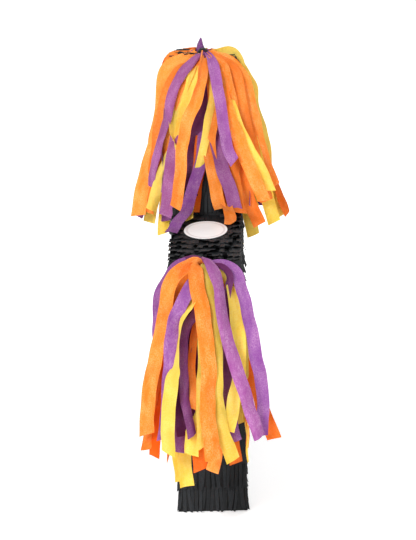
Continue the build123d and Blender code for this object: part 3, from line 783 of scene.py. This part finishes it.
TOP = [
    ("orange", (-0.3, -0.5), (0, -5), 16, [(-13, -1, 13), (-25, 2, 17), (-35, 8, 20), (-41, 17, 22),
     (-44, 30, 23), (-46, 46, 23), (-50, 69, 23), (-55, 93, 24), (-63, 118, 25), (-70, 143, 27),
     (-78, 175, 30)]),
    ("orange", 0.1, (-5, -5), 12, [(-9, -2, 3), (-24, -2, 6), (-34, -1, 9), (-38, 8, 12),
     (-40, 26, 15), (-45, 65, 18), (-56, 120, 21)]),
    ("orange", 0.4, (-10, -30), 15, [(-16, 6, 20), (-27, 15, 27), (-38, 32, 30), (-45, 58, 31),
     (-52, 90, 31), (-60, 130, 30), (-66, 172, 30)]),
    ("purple", 0.1, (-15, -45), 12.5, [(-2, -5, 15), (-9, -1, 23), (-17, 7, 29), (-24, 16, 34),
     (-31, 25, 38), (-35, 33, 40), (-38, 44, 42), (-42, 61, 43), (-48, 76, 44), (-55, 103, 44),
     (-61, 139, 43)]),
    ("orange", (-0.3, 0.3), (-5, -20), 13, [(-4, 1, 21), (-11, 11, 29), (-19, 21, 34),
     (-26, 31, 37), (-31, 41, 38), (-35, 51, 39), (-42, 76, 41), (-49, 108, 41), (-55, 140, 40)]),
    ("yellow", -0.6, (0, 10), 15, [(-3, 3, 20), (-9, 14, 30), (-12, 23, 34), (-15, 33, 38),
     (-18, 44, 41), (-21, 57, 44), (-25, 77, 46), (-29, 98, 49), (-31, 122, 51)]),
    ("yellow", 0.4, ((0, -5), (0.5, 0), (0.62, 130), (1, 170)), 12.5, [(-13, 10, 27), (-25, 37, 36),
     (-31, 60, 43), (-34, 90, 49), (-44, 111, 50), (-54, 138, 48), (-62, 165, 47)]),
    ("orange", (-0.1, -0.3), ((0, 45), (0.25, 45), (0.42, 5), (1, 0)), 13, [(1, 1, 25), (0, 7, 34),
     (-3, 19, 42), (-5, 30, 47), (-9, 42, 51), (-16, 54, 54), (-21, 68, 56), (-23, 84, 58),
     (-27, 119, 67), (-33, 154, 80)]),
    ("purple", 0.7, (25, 25), 13, [(5, 0, 17), (5, 18, 27), (1, 34, 34), (-3, 46, 38), (-7, 61, 42),
     (-10, 78, 45), (-17, 104, 52), (-25, 136, 62)]),
    ("orange", 0.8, (10, 15), 14, [(4, 6, 18), (3, 53, 32), (-5, 97, 47), (-11, 130, 58),
     (-14, 162, 69)]),
    ("yellow", 0.4, (20, 25), 9, [(10, 10, 24), (10, 36, 39), (8, 48, 43), (5, 62, 47), (0, 89, 54),
     (-8, 122, 63)]),
    ("purple", 0.3, ((0, 10), (0.6, 0), (1, -10)), 13, [(2, 42, 29), (-1, 80, 44), (-5, 110, 58),
     (-12, 130, 70), (-20, 148, 92), (-30, 157, 118), (-36, 160, 150)]),
    ("purple", (0.4, -0.3), (-10, 0), 15, [(-12, 20, 24), (-22, 50, 35), (-28, 70, 42),
     (-34, 102, 53), (-40, 130, 59), (-45, 167, 64)]),
    ("purple", 0.6, (-20, -20), 15, [(-20, 20, 12), (-34, 70, 17), (-40, 130, 21), (-44, 184, 24)]),
    ("yellow", -0.3, (-15, 5), 14, [(-18, 15, 9), (-31, 60, 12), (-40, 120, 15), (-46, 160, 19),
     (-49, 200, 22)]),
    ("purple", 0.5, (-40, -20), 14, [(-14, 2, 4), (-36, 30, 8), (-48, 80, 10), (-64, 140, 12),
     (-79, 181, 13)]),
    ("yellow", 0.6, (-30, -10), 14, [(-12, 4, 6), (-32, 40, 10), (-44, 90, 12), (-58, 150, 14),
     (-66, 188, 15)]),
    ("yellow", 0.9, (10, 0), 12, [(-6, 20, 18), (-12, 80, 38), (-16, 135, 56), (-18, 156, 84),
     (-19, 160, 104)]),
    ("orange", (0.3, 0.1), (10, -5), 14, [(10, 20, 27), (12, 48, 39), (5, 88, 52), (6, 112, 60),
     (11, 133, 67), (17, 156, 77)]),
    ("orange", 0.1, (20, 5), 13, [(12, 15, 22), (14, 52, 34), (9, 96, 49), (16, 129, 60),
     (22, 150, 70), (25, 158, 94), (26, 161, 118)]),
    ("purple", -0.2, (10, 0), 12.5, [(9, -1, 22), (13, 6, 37), (16, 28, 49), (19, 51, 58),
     (22, 74, 66), (25, 90, 71), (33, 104, 75)]),
    ("purple", 0.2, (20, 0), 15, [(10, 29, 26), (12, 74, 42), (14, 92, 51), (19, 114, 61),
     (26, 135, 69), (31, 156, 76)]),
    ("yellow", 0.7, (20, 20), 12, [(12, 20, 20), (20, 60, 31), (25, 95, 42), (27, 112, 48)]),
    ("orange", -0.2, (15, 10), 15, [(18, -1, 14), (27, 2, 17), (33, 7, 19), (38, 13, 21),
     (44, 22, 22), (49, 42, 22), (54, 68, 23), (59, 93, 24), (67, 119, 26), (75, 146, 27)]),
    ("orange", 0.6, (40, 60), 12, [(18, 0, 4), (40, 25, 10), (51, 75, 12), (64, 120, 14),
     (79, 150, 15), (91, 180, 16)]),
    ("orange", 0.35, (15, 5), 15, [(18, 0, 19), (30, 9, 27), (37, 26, 31), (41, 48, 34),
     (46, 75, 36), (52, 107, 40), (60, 137, 42), (67, 158, 43)]),
    ("orange", -0.5, (5, -5), 14, [(14, 11, 31), (22, 36, 44), (30, 62, 53), (37, 80, 59),
     (43, 99, 64), (54, 128, 69), (64, 150, 71)]),
    ("orange", 0.5, (10, 5), 14, [(14, 20, 26), (22, 55, 38), (28, 95, 51), (32, 128, 61),
     (35, 155, 69), (38, 160, 84)]),
    ("yellow", 0.0, (10, 0), 12, [(18, 10, 28), (27, 40, 41), (37, 67, 50), (48, 90, 57),
     (60, 116, 60), (71, 142, 60)]),
    ("orange", 0.3, (10, 0), 15, [(16, 22, 28), (27, 70, 42), (35, 113, 51), (45, 144, 56),
     (58, 181, 58)]),
    ("yellow", -0.2, (10, 0), 15, [(22, 8, 18), (42, 50, 23), (53, 100, 27), (64, 145, 31),
     (76, 186, 34)]),
    ("yellow", 0.1, (30, 50), 13, [(22, 4, 6), (42, 40, 10), (54, 95, 13), (70, 145, 15),
     (82, 184, 17)]),
    ("yellow", 0.7, (30, 20), 14, [(28, 4, 3), (41, 12, 5), (49, 26, 6), (54, 36, 6), (55, 47, 7),
     (57, 60, 7), (60, 73, 8), (64, 90, 9), (67, 110, 10), (70, 150, 12)]),
    ("yellow", 0.7, (5, 25), 10, [(9, -2, 2), (18, -4, 3), (28, -6, 5), (35, -4, 8), (39, 3, 10),
     (41, 12, 11)]),
    ("yellow", 0.3, (10, 0), 14, [(16, 20, 20), (28, 70, 30), (37, 120, 37), (44, 152, 41),
     (48, 178, 43), (50, 198, 43)]),
    ("orange", 0.1, (15, 10), 16, [(12, -1, 16), (23, 3, 22), (31, 11, 26), (37, 27, 28),
     (43, 52, 30), (49, 85, 32), (56, 115, 34), (64, 150, 36)]),
    ("orange", 0.0, (15, 10), 16, [(12, 0, 22), (22, 12, 33), (29, 40, 41), (34, 72, 45),
     (40, 105, 49), (48, 138, 50)]),
]

ARM = [
    ("purple", 0.1, (-20, -50), 13, [(-10, -16, -10), (-22, -15, -8), (-33, -11, -3), (-38, -5, 3),
     (-42, 1, 9), (-45, 9, 13), (-48, 23, 17), (-50, 37, 21), (-52, 52, 23), (-54, 67, 24),
     (-56, 82, 25), (-58, 99, 26), (-59, 120, 26)]),
    ("purple", 0.7, (-5, -20), 8, [(-4, -18, -8), (-12, -18, -12), (-19, -16, -12), (-25, -12, -10),
     (-30, -7, -7), (-33, -1, -3), (-37, 20, 8), (-40, 60, 14)]),
    ("orange", (-0.2, -0.5), (-15, 0), 15, [(-8, -20, 6), (-16, -18, 14), (-23, -15, 21),
     (-29, -11, 26), (-33, -4, 30), (-36, 3, 33), (-39, 15, 35), (-42, 27, 36), (-44, 38, 37),
     (-49, 62, 39), (-52, 77, 40), (-57, 94, 41), (-61, 126, 42), (-65, 156, 42)]),
    ("orange", 0.3, (40, 60), 11, [(-10, -17, 12), (-19, -15, 22), (-22, -8, 26), (-25, 1, 29),
     (-29, 10, 31), (-32, 30, 32), (-33, 50, 32)]),
    ("orange", 0.5, (-20, -10), 11, [(-12, -14, 6), (-30, 2, 18), (-40, 40, 24), (-52, 100, 28),
     (-67, 178, 30)]),
    ("orange", 1.0, (-20, -30), 13, [(-10, -12, 8), (-26, 6, 20), (-38, 50, 26), (-49, 120, 30),
     (-57, 185, 32)]),
    ("orange", (-0.1, -0.3), (-10, 5), 16, [(-6, -20, 8), (-10, -19, 18), (-8, -11, 33),
     (-5, 2, 44), (-2, 17, 51), (0, 39, 56), (1, 60, 58), (2, 98, 59), (2, 138, 60), (4, 181, 59)]),
    ("yellow", (0.2, 0.1), (15, 0), 15, [(2, -17, 6), (1, -12, 24), (5, -1, 35), (8, 14, 43),
     (9, 28, 48), (9, 41, 51), (9, 69, 53), (10, 98, 54), (12, 126, 52), (14, 147, 51),
     (20, 167, 51), (25, 185, 51)]),
    ("purple", (0.2, -0.2), ((0, 15), (0.25, 40), (0.45, 15), (1, 5)), 14, [(3, -22, 6),
     (8, -19, 20), (12, -13, 32), (16, -4, 41), (18, 8, 48), (19, 17, 51), (20, 26, 53),
     (22, 40, 56), (25, 57, 57), (29, 76, 58), (35, 92, 59), (41, 111, 59), (47, 132, 59),
     (55, 156, 58)]),
    ("purple", -0.3, (30, 10), 13.5, [(6, -13, -2), (15, -14, 0), (23, -13, 4), (31, -9, 12),
     (35, -4, 17), (38, 6, 24), (42, 17, 28), (44, 30, 31), (46, 42, 32), (49, 63, 34),
     (52, 82, 36), (55, 98, 37), (57, 118, 37), (58, 139, 38), (55, 162, 38)]),
    ("purple", 0.8, (20, 40), 8, [(8, -14, 6), (17, -15, 12), (23, -11, 18), (25, -5, 23),
     (23, 2, 27), (21, 20, 29), (22, 50, 30)]),
    ("yellow", (-0.5, -0.5), ((0, 40), (0.3, 15), (1, 5)), 14, [(6, -12, 0), (15, -9, 4),
     (22, -4, 12), (26, 1, 20), (29, 16, 28), (31, 33, 32), (35, 52, 35), (35, 73, 37),
     (33, 94, 40), (27, 121, 43), (20, 153, 45)]),
    ("yellow", 0.1, (30, 25), 14, [(8, -10, 0), (26, -2, 12), (36, 20, 19), (38, 45, 23),
     (39, 70, 25), (38, 94, 27), (35, 130, 28)]),
    ("orange", 0.5, (20, 10), 15, [(8, -10, -2), (22, 0, 10), (30, 40, 17), (38, 87, 22),
     (51, 115, 24), (57, 139, 25), (69, 170, 26)]),
    ("purple", 0.0, (-15, 0), 14, [(-3, -9, 4), (-8, -6, 20), (-12, -3, 31), (-17, 2, 38),
     (-22, 9, 42), (-26, 18, 44), (-30, 28, 46), (-32, 40, 47), (-36, 66, 48), (-41, 118, 47),
     (-46, 160, 45)]),
    ("yellow", (0.5, 0.3), ((0, -70), (0.42, -80), (0.55, -50), (0.66, -5), (1, 5)), 14.5, [
     (-3, -6, 8), (-8, 4, 30), (-13, 14, 45), (-20, 20, 48), (-26, 28, 50), (-28, 41, 52),
     (-29, 61, 54), (-32, 81, 55), (-36, 90, 56), (-38, 117, 57), (-41, 149, 57), (-43, 173, 57)]),
    ("purple", (0.3, 0.5), (-10, 20), 10, [(0, -6, 10), (-2, 12, 27), (-10, 26, 35), (-19, 38, 39),
     (-23, 67, 42), (-22, 119, 45), (-17, 158, 47)]),
    ("purple", 1.0, (0, 0), 15, [(2, -8, 6), (-2, 20, 23), (-8, 60, 32), (-10, 92, 34),
     (-9, 140, 35)]),
    ("purple", 1.0, (-10, 0), 14, [(-4, -4, 4), (-14, 20, 22), (-22, 60, 32), (-26, 110, 38),
     (-25, 160, 39)]),
    ("orange", (0.9, 0.3), (-5, 5), 8, [(-4, 10, 20), (-12, 60, 33), (-15, 90, 37),
     (-15, 130, 40)]),
    ("yellow", (0.9, 0.1), (-5, 5), 15, [(0, -8, 6), (-4, 18, 18), (-11, 60, 26), (-13, 96, 31),
     (-15, 140, 38), (-18, 181, 41)]),
    ("purple", (1.0, 0.2), (-10, 0), 14, [(-6, -6, 6), (-17, 20, 21), (-24, 70, 27), (-28, 130, 32),
     (-32, 179, 35)]),
    ("yellow", 0.0, (0, 10), 15, [(-4, 0, 4), (-14, 40, 18), (-20, 110, 24), (-27, 182, 28),
     (-23, 220, 30)]),
    ("yellow", 0.1, (-10, 0), 14, [(-8, 0, 2), (-20, 50, 12), (-27, 120, 18), (-31, 180, 22),
     (-31, 216, 24)]),
    ("orange", 0.7, (0, 5), 15, [(0, 0, 6), (-6, 60, 20), (-10, 130, 25), (-11, 202, 30)]),
    ("orange", (0.5, -0.3), (0, 0), 14, [(4, 0, 8), (6, 60, 24), (8, 130, 30), (8, 178, 34),
     (2, 202, 35)]),
    ("purple", 0.1, (15, 0), 14, [(8, -6, 4), (18, 30, 24), (20, 90, 31), (25, 144, 36),
     (28, 168, 37)]),
    ("yellow", 0.7, (20, 20), 13, [(10, -6, 2), (24, 30, 14), (31, 90, 21), (36, 152, 25)]),
    ("orange", 0.5, (10, 5), 14, [(8, 0, 4), (18, 60, 16), (22, 130, 22), (28, 198, 25)]),
    ("orange", 1.0, (10, 10), 14, [(4, 0, 4), (8, 60, 17), (10, 120, 24), (12, 180, 28)]),
    ("purple", (0.8, 0.4), (10, 0), 15, [(6, -8, 8), (13, 30, 30), (17, 90, 37), (20, 130, 40),
     (20, 158, 41)]),
    ("yellow", 0.2, (0, 15), 12, [(1, -4, 8), (-2, 50, 38), (-4, 110, 44), (-6, 150, 46),
     (-7, 171, 46)]),
    ("yellow", 0.5, (50, 70), 13, [(12, -8, -2), (34, 10, 10), (42, 50, 17), (44, 84, 20),
     (43, 105, 21)]),
]


def smooth_line(points, step):
    """Points a few millimetres apart on a smooth curve through the given ones."""
    p = np.array(points, float)
    p = np.concatenate([[2 * p[0] - p[1]], p, [2 * p[-1] - p[-2]]])
    made = []
    for a, b, c, d in zip(p, p[1:], p[2:], p[3:]):
        n = max(2, int(np.linalg.norm(c - b) / step))
        t = np.linspace(0, 1, n, endpoint=False)[:, None]
        made.append(0.5 * (2 * b + (c - a) * t + (2 * a - 5 * b + 4 * c - d) * t ** 2
                           + (3 * b - a - 3 * c + d) * t ** 3))
    line = np.concatenate(made + [p[-2][None]])
    gaps = np.linalg.norm(np.diff(line, axis=0), axis=1)
    at = np.concatenate([[0], np.cumsum(gaps)])
    even = np.linspace(0, at[-1], max(8, int(at[-1] / step)))
    return np.stack([np.interp(even, at, line[:, k]) for k in range(3)], 1), even


def ripple(draw, s, size, longest):
    """A gentle unevenness along a strip, none at its root."""
    total = np.zeros_like(s)
    for share in (1.0, 0.55, 0.3):
        total += size * share * np.sin(s / (longest * share) * math.tau + draw.uniform(0, 6.3))
    return total * np.clip(s / 40.0, 0, 1)


def ribbon(paper, place, item, draw, near, rise):
    """One crepe strip in the paper's mesh. place turns its own axes into those of the star.

    It is narrow and pleated at the root, then gets a cup, a fold along a crease, and ripples.
    """
    painted_shading, turn, width, points = item[1:]
    first = points[0]
    way = math.atan2(first[0], max(first[2], 1))
    height = -rise - draw.uniform(0, 1.5)
    root = (near * math.sin(way), max(height, min(first[1] - 5, -1)), near * math.cos(way))
    line, s = smooth_line([root] + list(points), POINT_STEP)
    side, drop, out = line.T
    line = np.stack([out, side, -drop], 1)
    share = s / s[-1]
    tangent = unit(np.gradient(line, axis=0))
    if len(turn) == 2:
        turn = ((0.1, turn[0]), (0.9, turn[1]))
    face = np.radians(np.interp(share, *zip(*turn)) + ripple(draw, s, 8, 110))
    look = np.stack([np.cos(face), np.sin(face), np.full_like(face, 0.6)], 1)
    normal = unit(look - (look * tangent).sum(1, keepdims=True) * tangent)
    wide = np.cross(normal, tangent)
    line = line + normal * ripple(draw, s, 0.7, 70)[:, None]
    line += wide * ripple(draw, s, 0.8, 120)[:, None]
    u = np.linspace(-1, 1, COLUMNS)
    gather = 0.5 + 0.5 * np.clip(s / GATHERED, 0, 1)
    half = width / 2 * gather
    cup = draw.uniform(-1.0, 1.2) + ripple(draw, s, 0.6, 80)
    crease = draw.uniform(-0.45, 0.45) + ripple(draw, s, 0.12, 150)
    fold = draw.choice((-1, 1)) * draw.uniform(0.4, 2.2) * (1 + ripple(draw, s, 0.3, 130))
    pleat = (1 - gather)[:, None] * 1.6 * np.cos(u * 9.0)[None]
    height = (cup[:, None] * (1 - u ** 2)[None] + pleat
              + fold[:, None] * np.abs(u[None] - crease[:, None]))
    grid = (line[:, None] + wide[:, None] * (half[:, None] * u[None])[..., None]
            + normal[:, None] * height[..., None])
    slant = draw.uniform(-3.5, 3.5)
    ease = np.clip((share - (1 - TAIL)) / TAIL, 0, 1)
    grid += tangent[:, None] * (ease[:, None] * (slant * u)[None])[..., None]
    # painted shading along the strip: painted shade and other strips showing through, and below
    # zero a painted lighter look
    painted_shading = np.interp(share, (0.1, 0.8), np.broadcast_to(painted_shading, 2))
    mixed = np.clip(painted_shading + ripple(draw, s, 0.10, 100), 0, 1)
    # its lightness: random, and made paler as painted light where the painted shading is below zero
    pale = draw.uniform(-0.5, 0.5) + ripple(draw, s, 0.15, 60) - 1.2 * np.minimum(painted_shading, 0)
    grid = place(grid * MM)
    grid[..., 2] = np.maximum(grid[..., 2], 1 * MM)
    normals = np.repeat(place(normal, direction=True)[:, None], COLUMNS, 1)
    paper.add(grid, normals, CREPE_PAPER, s * MM, pale, mixed, draw.uniform(0, 1))
    paper.area += s[-1] * width * MM * MM


def placed(x, z, turned=1):
    """The way from a bundle's own axes, out, side and up, to the star's; -1 turns it round."""
    def way(points, direction=False):
        moved = points * np.array([turned, turned, 1.0])
        return moved if direction else moved + np.array([x, 0.0, z])
    return way


def changed(item, draw, amount, longest):
    """The same kind of strip, a little different, for a side that isn't seen."""
    colour, painted_shading, turn, width, points = item
    shift = draw.uniform(-amount, amount)
    grow = draw.uniform(0.92, 1.04)
    moved = [(side + shift * min(1, max(drop, 0) / 60),
              min(drop * grow if drop > 0 else drop, longest), out) for side, drop, out in points]
    if draw.random() < 0.35:
        colour = draw.choice(("orange", "purple", "yellow", "orange"))
    return colour, painted_shading, turn, width, moved


def narrowed(item, share, out_share=1.0):
    """The same strip, nearer to the middle of its bundle."""
    points = [(side * share, drop, out * out_share) for side, drop, out in item[4]]
    return item[:4] + (points,)


def flank(draw, near, far, shoulder, drops, count):
    """Strips on the two flanks of a bundle, which look to the front and to the back.

    shoulder is where they bend down; near is how far out the last of them lies there, and far
    how far out it ends.
    """
    made = []
    for toward in (-1, 1):
        for k in range(count):
            share = (k + draw.uniform(0.3, 0.7)) / count
            drop = draw.uniform(*drops)
            flare = draw.uniform(5, 9)
            out = [share * (near + (far - near) * part) for part in (0.0, 0.15, 0.55, 1.0)]
            points = [(toward * shoulder * 0.4, -1, out[0] * 0.5),
                      (toward * shoulder * 0.8, 0, out[0] * 0.8),
                      (toward * shoulder, 8, out[0]), (toward * (shoulder + 2), 30, out[1]),
                      (toward * (shoulder + flare * 0.6), drop * 0.55, out[2]),
                      (toward * (shoulder + flare), drop, out[3])]
            made.append((draw.choice(("orange", "orange", "yellow", "purple")),
                         draw.uniform(-0.2, 0.5), (80 * toward, 95 * toward), FLANK_WIDTH,
                         points))
    return made


def purple_cone(paper):
    """The end of one purple strip, rolled to a point, that stands up behind the loop."""
    base, height = 5.8 * MM, 17.5 * MM
    t = np.linspace(0, 1, 12)[:, None]
    a = np.linspace(-2.6, 4.6, 22)[None]
    r = (base * (1 - t) ** 0.85 + 0.5 * MM) * (1 + 0.10 * np.sin(3 * a + 9 * t)) + a * 0.08 * MM
    x = -7.2 * MM + r * np.cos(a) + 0.8 * MM * t
    y = -3.2 * MM + r * np.sin(a) + 1.4 * MM * t ** 2
    z = TOP_Z - 1.6 * MM + height * t + 1.6 * MM * np.sin(2 * a) * t ** 3
    normal = np.stack(np.broadcast_arrays(np.cos(a), np.sin(a), 0.25, t)[:3], 2)
    paper.add(np.stack([x, y, z], 2), unit(normal), CREPE_PAPER, (height * t)[:, 0], -0.9, 0.25,
              1.0)
    paper.area += 15 * 18 * MM * MM


def bundle(name, node, items, seed, near, rise, cone=False):
    """The three colours of one bundle, each one sheet, from pairs of a place and a strip.

    near is how far from the bundle's middle a strip starts, and rise how high above the root.
    """
    draw = random.Random(seed)
    papers = {colour: Paper() for colour in CREPE}
    for place, item in items:
        ribbon(papers[item[0]], place, item, draw, near, rise)
    if cone:
        purple_cone(papers["purple"])
    for colour, paper in papers.items():
        piece = paper.build(f"{name}_{colour}", CREPE[colour], "root", f"crepe_{colour}")
        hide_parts(f"{node}_streamers_{colour}")


def knot(node, x, radius, thick, low, high):
    """A tie: a crumpled band of paper wound round the strips' ends."""
    around, over = 72, 16
    a = np.linspace(0, math.tau, around, endpoint=False)[:, None]
    b = np.linspace(0, math.tau, over, endpoint=False)[None]
    swell = 1 + 0.10 * np.sin(5 * a + 1) + 0.08 * np.sin(11 * a + 2 * b)
    creases = 0.12 * np.sin(3 * b + 4 * np.sin(2 * a)) + 0.06 * np.sin(23 * a + 5 * b)
    r = radius + thick * np.cos(b) * (swell + creases) * 0.85
    z = (high + low) / 2 + (high - low) / 2 * np.sin(b) * (swell + creases) * 0.82
    points = np.stack([x + r * np.cos(a), r * np.sin(a), z], 2).reshape(-1, 3)
    k = np.arange(around * over).reshape(around, over)
    after, above = np.roll(k, -1, 0), np.roll(k, -1, 1)
    faces = np.stack([k, after, np.roll(after, -1, 1), above], 2).reshape(-1, 4)
    band = surface(node + "_band", points, faces, TIE)
    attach(band, "root")
    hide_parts(node)


TIE = tie_paper()
tie_low, tie_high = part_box("right_arm_streamer_tie")
TIE_X = (tie_low.x + tie_high.x) / 2
TIE_Z = LEDGE_Z - 13.8 * MM
TOP_START, ARM_START = (10.3, 3.0), (2.0, 12.0)  # mm out from the middle, and mm up
front = placed(0.0, TOP_Z)
behind = placed(0.0, TOP_Z, -1)
other = random.Random(77)
items = [(front, item) for item in TOP]
for item in TOP:
    # Most strips again on the far side, but not the ones that stand far out or start high up
    first, last = item[4][0], item[4][-1]
    if last[2] < 100 and first[1] > -2:
        longest = 160 if last[2] > 60 else 180
        items.append((behind, narrowed(changed(item, other, 4, longest), 0.87)))
for place in (front, behind):
    items += [(place, item) for item in flank(other, near=10, far=56, shoulder=41,
                                              drops=(135, 185), count=4)]
bundle("top_bundle", "top", items, 5, *TOP_START, cone=True)
arm_flank = flank(other, near=24, far=34, shoulder=36, drops=(130, 195), count=3)
near_arm, far_arm = placed(TIE_X, TIE_Z), placed(-TIE_X, TIE_Z, -1)
items = [(near_arm, item) for item in ARM + arm_flank]
bundle("right_bundle", "right_arm", items, 9, *ARM_START)
items = [(far_arm, narrowed(changed(item, other, 3, 225), 0.40, 0.85)) for item in ARM]
items += [(far_arm, narrowed(item, 0.82, 0.85)) for item in arm_flank]
bundle("left_bundle", "left_arm", items, 13, *ARM_START)

# ---- Materials of the pieces that stay as the model has them ----


def dress(node, material):
    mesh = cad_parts[node].data
    mesh.materials.clear()
    mesh.materials.append(material)


board, tape = cardboard(), kraft_tape()
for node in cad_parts:
    if node in ("front_panel", "back_panel", "fill_flap") or node.endswith("_band"):
        dress(node, board)
    elif node.endswith("_tape") or node.endswith("_tapes"):
        dress(node, tape)
dress("anchor_stick", stick_wood())
dress("hanging_loop", wrapped_wire())
dress("label", label_paper(LABEL_MIDDLE, LABEL_HALF))
dress("foot_covers", sole_paper())
knot("top_streamer_tie", 0.0, radius=12.6 * MM, thick=1.9 * MM, low=TOP_Z + 0.3 * MM,
     high=TOP_Z + 3.6 * MM)
for node, x in (("right_arm_streamer_tie", TIE_X), ("left_arm_streamer_tie", -TIE_X)):
    knot(node, x, radius=4.2 * MM, thick=3.8 * MM, low=TIE_Z - 3 * MM, high=TIE_Z + 10.5 * MM)

# ---- Floor ----

HALF_FLOOR = 9.0
corners = HALF_FLOOR * np.array([(-1, -1, 0), (1, -1, 0), (1, 1, 0), (-1, 1, 0)])
floor = surface("floor", corners, np.array([(0, 1, 2, 3)]), floor_paint())
